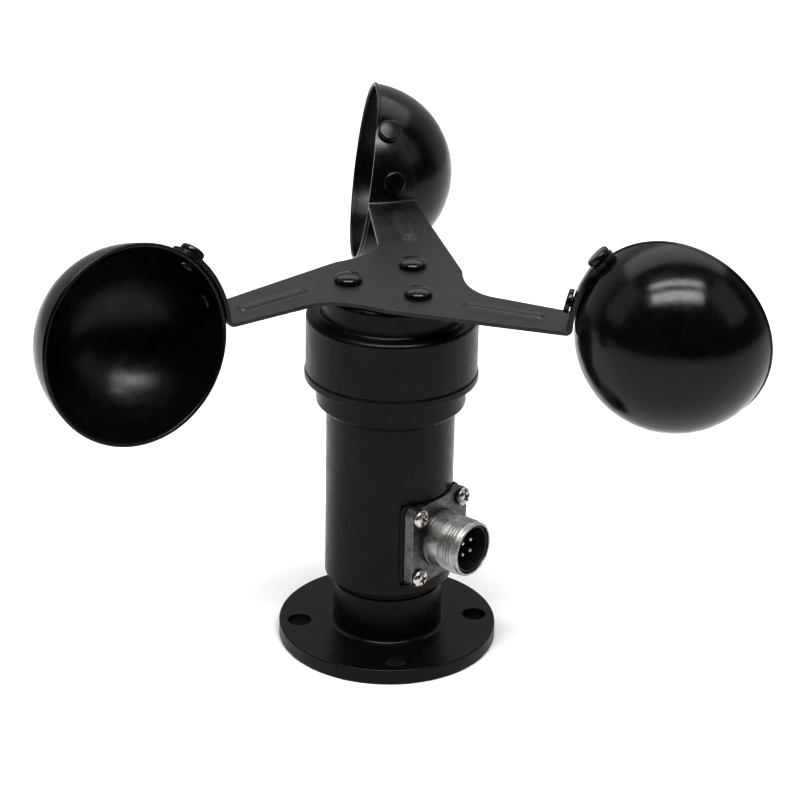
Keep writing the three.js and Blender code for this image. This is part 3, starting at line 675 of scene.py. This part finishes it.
def hub_rivets():
    """Round-head rivets that hold the spider on the hub."""
    seat = PLATE.low + PLATE.thick + GAP
    head, rim, height, shank, tip = 4.1, 0.35, 2.1, 2.0, HUB.top - 5.6
    swell = [(r * head, seat + rim + (z - seat) * (height - rim))
             for r, z in arc(0, seat, 1, 8, 90, 12)]
    swell[-1] = (0, swell[-1][1])
    foot = rounded([(0, tip), (shank, tip, 0.3), (shank, seat), (head, seat, 0.15)])
    for i, (x, y) in enumerate(rivet_places()):
        rivet = moved(turned(f"hub_rivet_{i + 1}_dome", foot + swell, 72), shift(x, y, 0))
        finished(rivet, "rotor", [f"hub_rivet_{i + 1}"], RIVET_PAINT)


# ---------------------------------------------------------------- cups

def arm_frame(arm):
    """The arm's own frame has the arm along +X."""
    return turn(FIRST_ARM + 120 * arm, "Z")


def cup_frame(arm):
    """The cup's own frame, set in the arm's, has the mouth towards +X and the hub towards +Y."""
    centre = shift(CUP.reach[arm], CUP.side[arm], CUP.height)
    return centre @ turn(CUP.facing, "Z") @ turn(-CUP.tilt, "Y")


def rivet_frame(spot):
    """Stands a rivet, made about Z from the sphere's centre, through the strap and the cup."""
    y, z = polar(math.sqrt(STRAP.outer ** 2 - spot.behind ** 2), spot.rise)
    outward = Vector((-spot.behind, y, z)).normalized()
    return Vector((0, 0, 1)).rotation_difference(outward).to_matrix().to_4x4()


def wind_cup(arm):
    """A pressed hemisphere whose rim is rolled into a bead."""
    c = CUP
    inner, bead = c.radius - c.wall, c.bead
    centre = (inner + bead, -bead)
    outside = arc(0, 0, c.radius, -90, -2.9, 44)
    rim = arc(*centre, bead, -62, 180, 16)
    hollow = arc(0, 0, inner, -1.4, -90, 44)
    outside[0], hollow[-1] = (0, -c.radius), (0, -inner)
    cup = turned(f"wind_cup_{arm + 1}_bowl", outside + rim + hollow, 160)
    moved(cup, turn(90, "Y"))
    low, high = c.radius - 4, c.radius + 5
    carved(cup, *[moved(rod(STRAP.hole, low, high), rivet_frame(spot)) for spot in CUP_RIVETS.values()])
    place = arm_frame(arm) @ cup_frame(arm)
    finished(moved(cup, place), "rotor", [f"wind_cup_{arm + 1}"], CUP_PAINT)
    middle, half_way = place.translation / MM, c.radius - c.wall / 2
    return repainted(cup, CUP_INSIDE_PAINT, lambda p: (p - middle).length < half_way)


def cup_rivets(arm):
    """Flat-head rivets whose tails are set over inside the cup."""
    low, head, height, shank = STRAP.outer + 0.25, 3.5, 1.5, 1.5
    tail_top, tail, tail_height = CUP.radius - CUP.wall - 0.95, 2.7, 1.1
    profile = rounded([
        (0, tail_top - tail_height), (tail, tail_top - tail_height, 0.5), (tail, tail_top, 0.2),
        (shank, tail_top), (shank, low), (head, low, 0.2), (head, low + height, 0.75),
        (0, low + height)], 6)
    for name, spot in CUP_RIVETS.items():
        rivet = turned(f"cup_rivet_{arm + 1}_{name}_flat_head", profile, 72)
        moved(rivet, arm_frame(arm) @ cup_frame(arm) @ rivet_frame(spot))
        finished(rivet, "rotor", [f"cup_rivet_{arm + 1}_{name}"], RIVET_PAINT)


# ---------------------------------------------------------------- the sheet-metal spider

def fold_section(behind):
    """The section through a cup at a distance behind its mouth: the radius of the sheet's circle,
    and where the centre of the fold's fillet lies, across and up from the circle's centre."""
    circle = math.sqrt(STRAP.middle ** 2 - behind ** 2)
    tilt = math.radians(CUP.tilt)
    height = (PLATE.middle - CUP.height + behind * math.sin(tilt)) / math.cos(tilt)
    up = height + PLATE.fold
    return circle, math.sqrt((circle + PLATE.fold) ** 2 - up ** 2), up


def strap_point(behind, along):
    """The point of the sheet's middle surface at a distance along its way from the flat plate,
    round the fold and up the cup, in the cup's frame."""
    circle, across, up = fold_section(behind)
    start = math.atan2(up, across)
    bend = PLATE.fold * (math.pi / 2 - start)
    if along < bend:
        y, z = polar(PLATE.fold, -90 - math.degrees(along / PLATE.fold))
        return Vector((-behind, across + y, up + z))
    y, z = polar(circle, math.degrees(start + (along - bend) / circle))
    return Vector((-behind, y, z))


def strap_way(behind, height):
    """How far along its way the sheet reaches a height above the cup's centre."""
    circle, across, up = fold_section(behind)
    start = math.atan2(up, across)
    return PLATE.fold * (math.pi / 2 - start) + (math.asin(height / circle) - start) * circle


def steps_between(start, end, pace):
    """Points from start up to, but not including, end, about a pace apart."""
    start, end = Vector(start), Vector(end)
    count = max(1, round((end - start).length / pace))
    return [tuple(start.lerp(end, i / count)) for i in range(count)]


def curve_between(start, bend, end, pace):
    """Points along a quadratic curve, without its end."""
    start, bend, end = Vector(start), Vector(bend), Vector(end)
    count = round((end - start).length / pace) + 2
    ways = [i / count for i in range(count)]
    return [tuple(start * (1 - t) ** 2 + bend * 2 * t * (1 - t) + end * t * t) for t in ways]


PACE = 0.6  # spacing of the spider's mesh
FOLD_STEPS = 24


def fold_places():
    """The distances behind the mouth at which the flat plate meets the fold."""
    return [STRAP.near + (STRAP.far - STRAP.near) * i / FOLD_STEPS for i in range(FOLD_STEPS + 1)]


def strap_outline():
    """The strap's flattened outline, as (distance behind the mouth, way along the sheet)."""
    def way(behind, height):
        return behind, strap_way(behind, height)
    side, bend, neck = (13.0, 8.5), (12.1, 14.2), (8.3, 18.4)
    spot, radius = CUP_RIVETS["upper"], 4.2
    rivet = rivet_frame(spot) @ Vector((0, 0, STRAP.middle))
    top = (STRAP.near + radius, strap_way(spot.behind, rivet.z))
    outline = [(behind, 0.0) for behind in fold_places()[:-1]]
    outline += steps_between((STRAP.far, 0), way(*side), PACE)
    outline += [way(*p) for p in curve_between(side, bend, neck, PACE)]
    outline += arc(*top, radius, 0, 180, 26)[:-1]
    outline += steps_between((STRAP.near, top[1]), (STRAP.near, 0), PACE)
    return outline


def strap_holes():
    holes = []
    for spot in CUP_RIVETS.values():
        ring = [rivet_frame(spot) @ Vector((*polar(STRAP.hole, -15 * i), STRAP.middle)) for i in range(24)]
        holes.append([(-p.x, strap_way(-p.x, p.z)) for p in ring])
    return holes


def arm_end(arm):
    """The line on which the arm's flat plate meets its fold, in the arm's own frame."""
    return [(cup_frame(arm) @ (strap_point(behind, 0) * MM) / MM).xy for behind in fold_places()]


def plate_outline():
    """The flat star, from arm to arm, with each arm ending where its fold begins."""
    notch, mouth_side, bend, rounding = (29.0, 4.6), (36.0, 5.3), Vector((20.0, 5.2)), 1.2
    root, onward = Vector((8.1, -20.0)), turn(120, "Z").to_2x2()
    ends = [arm_end(arm) for arm in ARMS]
    rooted = [root + (end[-1] - root).normalized() * rounding for end in ends]
    next_root = onward @ root
    near_root = next_root + (bend - next_root).normalized() * rounding
    outline = []
    for arm in ARMS:
        spin, end = arm_frame(arm).to_2x2(), ends[arm]
        side = steps_between(rooted[arm], end[-1], PACE)
        side += [tuple(p) for p in reversed(end[1:])]
        side += steps_between(end[0], mouth_side, PACE) + steps_between(mouth_side, notch, PACE)
        side += curve_between(notch, bend, near_root, PACE)
        side += curve_between(near_root, next_root, onward @ rooted[(arm + 1) % len(ends)], PACE)
        outline += [tuple(spin @ Vector(p)) for p in side]
    return outline


def plate_holes():
    ring = [polar(PLATE.hole, -15 * i) for i in range(24)]
    return [[(x + a, y + b) for a, b in ring] for x, y in rivet_places()]


def inside(points, loop):
    """Which of the points lie inside the loop."""
    x, y = points[:, :1], points[:, 1:]
    ax, ay = np.array(loop).T
    bx, by = np.roll(ax, -1), np.roll(ay, -1)
    level = (ay > y) != (by > y)
    with np.errstate(divide="ignore", invalid="ignore"):
        crossing = x < (bx - ax) * (y - ay) / (by - ay) + ax
    return np.sum(level & crossing, axis=1) % 2 == 1


def filled(outline, holes, pace):
    """Points and triangles that fill an outline with holes, on an even triangular grid."""
    loops = [outline, *holes]
    border = np.array([p for loop in loops for p in loop])
    low, high = border.min(0), border.max(0)
    rise = pace * math.sqrt(3) / 2
    grid = np.array([(x + pace * (row % 2) / 2, y) for row, y in enumerate(np.arange(low[1], high[1], rise))
                     for x in np.arange(low[0], high[0], pace)])
    keep = inside(grid, outline)
    for hole in holes:
        keep &= ~inside(grid, hole)
    grid = grid[keep]
    clear = np.array([np.min(np.sum((border - p) ** 2, axis=1)) > (0.6 * pace) ** 2 for p in grid])
    points = [Vector(p) for p in (*border, *grid[clear])]
    edges, first = [], 0
    for loop in loops:
        edges += [(first + i, first + (i + 1) % len(loop)) for i in range(len(loop))]
        first += len(loop)
    corners, _, faces, *_ = delaunay_2d_cdt(points, edges, [], 0, 1e-6)
    middles = np.array([sum((np.array(corners[i]) for i in face), np.zeros(2)) / 3 for face in faces])
    kept = inside(middles, outline)
    for hole in holes:
        kept &= ~inside(middles, hole)
    return corners, [face for face, wanted in zip(faces, kept) if wanted]


def add_sheet(bm, flat, place):
    """Adds a filled outline to the mesh, with place giving each flat point its place in metres."""
    corners, faces = flat
    verts = [bm.verts.new(place(p)) for p in corners]
    for face in faces:
        bm.faces.new([verts[i] for i in face])


def rib_height(arm, x, y):
    """How far the stamped rib lifts the sheet at a point of the arm."""
    start, end, here = Vector(RIB.inner), Vector(RIB.outer), Vector((x, y))
    here.x -= CUP.reach[arm] - min(CUP.reach)
    along = end - start
    t = min(1, max(0, (here - start).dot(along) / along.length_squared))
    off = (here - start - along * t).length / RIB.half
    return RIB.rise * (1 - off * off) ** 2 * (1 + off * off) if off < 1 else 0.0


def press_ribs(bm):
    """Lifts the ribs out of the flat plate, and leaves the straps and the middle of the star alone."""
    below, beyond = PLATE.middle + 2.5, 20
    bm.normal_update()
    for arm in ARMS:
        back = arm_frame(arm).inverted()
        for vert in bm.verts:
            here = back @ vert.co / MM
            lift = rib_height(arm, here.x, here.y) if here.z < below else 0
            if lift and here.x > beyond:
                vert.co += vert.normal * lift * MM


def cup_arm_spider():
    """One sheet of steel: a flat star whose arms are ribbed and fold up into straps on the cups."""
    bm = bmesh.new()
    plate = filled(plate_outline(), plate_holes(), PACE)
    add_sheet(bm, plate, lambda p: Vector((p[0], p[1], PLATE.middle)) * MM)
    strap = filled(strap_outline(), strap_holes(), PACE)
    for arm in ARMS:
        frame_here = arm_frame(arm) @ cup_frame(arm)
        add_sheet(bm, strap, lambda p, m=frame_here: m @ (strap_point(*p) * MM))
    bmesh.ops.remove_doubles(bm, verts=bm.verts, dist=0.01 * MM)
    bmesh.ops.recalc_face_normals(bm, faces=bm.faces)
    bm.normal_update()
    if sum(face.normal.z for face in bm.faces) < 0:
        bmesh.ops.reverse_faces(bm, faces=bm.faces)
    press_ribs(bm)
    spider = add_mesh("cup_arm_spider_sheet", bm)
    thicken = spider.modifiers.new("thickness", "SOLIDIFY")
    thicken.thickness = PLATE.thick * MM
    thicken.offset = 0
    thicken.use_even_offset = True
    baked(spider)
    bevelled(spider, 0.2, angle=60, segments=2)
    finished(spider, "rotor", ["cup_arm_spider"], PLATE_PAINT)
    above_fold = PLATE.middle + PLATE.fold + 1
    return repainted(spider, STRAP_PAINT, lambda p: p.z > above_fold)


# ---------------------------------------------------------------- pieces kept from the CAD model

def finish_cad_nodes():
    """Gives every CAD node that still shows the procedural finish of its material slot."""
    for part in frame["record"]["subparts"]:
        piece = frame["nodes"][part["node"]]
        piece.data.materials.clear()
        piece.data.materials.append(CAD_FINISHES[part["material_slot"]])


# ---------------------------------------------------------------- studio

def studio_floor():
    bm = bmesh.new()
    bmesh.ops.create_grid(bm, x_segments=8, y_segments=8, size=FLOOR_HALF)
    floor = add_mesh("studio_floor", bm)
    f = Finish("pale_floor", specular=0.2)
    tone = f.mixed(f.ranged(f.noise(400, 2), 0.3, 0.7), (0.88, 0.88, 0.88), (0.9, 0.9, 0.9))
    floor.data.materials.append(f.done(tone, f.ranged(f.noise(300, 2), 0.3, 0.7, 0.8, 0.9)))
    moved(floor, shift(0, 0, CAD_BOX[0].z / MM - 0.05))


def soft_box(name, place, target, size, power):
    """A rectangular studio light, facing a target. Lengths are in metres and power in watts."""
    light = bpy.data.lights.new(name, "AREA")
    light.shape = "RECTANGLE"
    light.size, light.size_y = size
    light.energy = power
    lamp = bpy.data.objects.new(name, light)
    lamp.location = place
    lamp.rotation_mode = "QUATERNION"
    lamp.rotation_quaternion = (Vector(target) - Vector(place)).to_track_quat("-Z", "Y")
    bpy.context.scene.collection.objects.link(lamp)
    return lamp


# The camera's place in metres and its aim in degrees. The azimuth is where it stands, counted from the
# -Y side towards +X. It faces the axis when its heading equals the azimuth.
CAMERA = Sizes(azimuth=39.0, distance=0.74218, height=0.41533, heading=38.794, pitch=24.525, roll=1.128,
               lens=126.0, sensor=36)
BACK_GLOW, FRONT_GLOW = 0.72, 0.012  # the room's light behind the object and on the camera's side
FLOOR_HALF = 0.85
VIEW_GAMMA = 0.75  # deepens the blacks


def towards_camera(reach, height, aside=0.0):
    """A place at a reach from the axis towards the camera, and aside to the camera's right."""
    a = math.radians(CAMERA.azimuth)
    x = reach * math.sin(a) + aside * math.cos(a)
    y = aside * math.sin(a) - reach * math.cos(a)
    return Vector((x, y, height))


def camera():
    data = bpy.data.cameras.new("camera")
    data.lens = CAMERA.lens
    data.sensor_width = CAMERA.sensor
    data.clip_start, data.clip_end = 0.02, 20
    made = bpy.data.objects.new("camera", data)
    aim = turn(CAMERA.heading, "Z") @ turn(90 - CAMERA.pitch, "X") @ turn(CAMERA.roll, "Z")
    made.matrix_world = Matrix.Translation(towards_camera(CAMERA.distance, CAMERA.height)) @ aim
    bpy.context.scene.collection.objects.link(made)
    bpy.context.scene.camera = made


def studio_world():
    """A pale room that is dark on the side where the photographer stands."""
    world = bpy.data.worlds.new("studio")
    world.use_nodes = True
    tree = world.node_tree
    tree.nodes.clear()

    def node(kind, **settings):
        made = tree.nodes.new("ShaderNode" + kind)
        for key, value in settings.items():
            setattr(made, key, value)
        return made

    def ranged(value, low, high, to_low, to_high):
        made = node("MapRange", interpolation_type="SMOOTHSTEP")
        tree.links.new(value, made.inputs[0])
        for i, number in enumerate((low, high, to_low, to_high)):
            made.inputs[i + 1].default_value = number
        return made.outputs[0]

    def product(a, b):
        made = node("Math", operation="MULTIPLY")
        tree.links.new(a, made.inputs[0])
        tree.links.new(b, made.inputs[1])
        return made.outputs[0]

    direction = node("TexCoord").outputs["Generated"]
    towards = node("VectorMath", operation="DOT_PRODUCT")
    tree.links.new(direction, towards.inputs[0])
    towards.inputs[1].default_value = towards_camera(1, 0)
    parts = node("SeparateXYZ")
    tree.links.new(direction, parts.inputs[0])
    facing = ranged(towards.outputs["Value"], -0.6, -0.1, 0, 1)
    level = ranged(parts.outputs["Z"], 0.75, 0.95, 1, 0.9)
    dark = product(facing, level)
    glow = ranged(dark, 0, 1, BACK_GLOW, FRONT_GLOW)
    seen = node("LightPath").outputs["Is Camera Ray"]
    strength = node("Mix", data_type="FLOAT")
    tree.links.new(seen, strength.inputs[0])
    tree.links.new(glow, strength.inputs[2])
    strength.inputs[3].default_value = 1.0
    background = node("Background")
    background.inputs["Color"].default_value = (1, 1, 1, 1)
    tree.links.new(strength.outputs[0], background.inputs["Strength"])
    tree.links.new(background.outputs[0], node("OutputWorld").inputs[0])
    bpy.context.scene.world = world


def studio_lights():
    target = (0, 0, 0.08)
    soft_box("overhead_front", towards_camera(0.46, 1.0), target, (1.0, 0.22), 11)
    soft_box("overhead_back", towards_camera(0.2, 1.1), target, (1.0, 0.13), 6)
    soft_box("backdrop_bank", towards_camera(-0.75, 1.1), towards_camera(-0.7, 0), (1.9, 0.9), 11)
    soft_box("right_bank", towards_camera(0.3, 1.0, 1.2), target, (0.8, 1.1), 3)
    soft_box("left_bank", towards_camera(0.1, 0.9, -1.3), target, (0.8, 1.1), 3)


# ---------------------------------------------------------------- the scene

camera()
finish_cad_nodes()
base_flange()
neck_seal()
body_tube()
bearing_carrier()
connector_gasket()
connector_shell()
connector_insert()
connector_pins()
connector_screws()
rotor_hub()
hub_rivets()
cup_arm_spider()
for arm in ARMS:
    wind_cup(arm)
    cup_rivets(arm)
studio_floor()
studio_world()
studio_lights()
bpy.context.scene.view_settings.view_transform = "Standard"
bpy.context.scene.view_settings.gamma = VIEW_GAMMA
